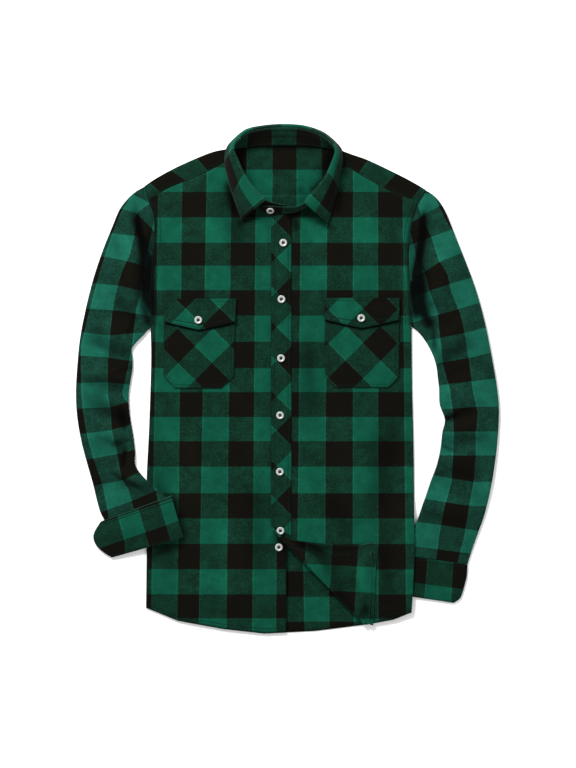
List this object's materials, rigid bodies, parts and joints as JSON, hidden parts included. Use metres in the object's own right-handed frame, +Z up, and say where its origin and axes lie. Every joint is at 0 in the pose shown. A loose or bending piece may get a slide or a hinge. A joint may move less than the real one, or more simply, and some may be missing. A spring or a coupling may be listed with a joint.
{
  "type": "flannel_shirt",
  "caption": "Long-sleeved green and black checked flannel shirt, buttoned and laid flat, with two flapped chest pockets and one front corner folded back to show the inside.",
  "frame": {"origin": "the surface the shirt lies on, under the button line at mid-length of the body", "axes": "+X to the viewer's right, +Y towards the collar, +Z up from the surface"},
  "size_m": [0.66, 0.7954, 0.0305],
  "materials": {
    "checked_flannel": "brushed cotton twill, green and black check, soft matte nap",
    "bias_flannel": "the same brushed cotton cut on the bias, soft matte nap",
    "button_resin": "pale grey pearl resin with a soft shine"
  },
  "bodies": {
    "root": {"back": "checked_flannel", "yoke": "checked_flannel", "front_under": "checked_flannel", "front_top": "checked_flannel", "placket": "bias_flannel", "collar_stand": "checked_flannel", "collar_leaf": "checked_flannel", "sleeve_left": "checked_flannel", "sleeve_right": "checked_flannel", "cuff_left": "checked_flannel", "cuff_right": "checked_flannel", "pocket_left": "bias_flannel", "pocket_right": "bias_flannel", "flap_left": "bias_flannel", "flap_right": "bias_flannel", "button_1": "button_resin", "button_2": "button_resin", "button_3": "button_resin", "button_4": "button_resin", "button_5": "button_resin", "button_6": "button_resin", "button_hem": "button_resin", "button_collar": "button_resin", "button_flap_left": "button_resin", "button_flap_right": "button_resin"}
  },
  "joints": []
}
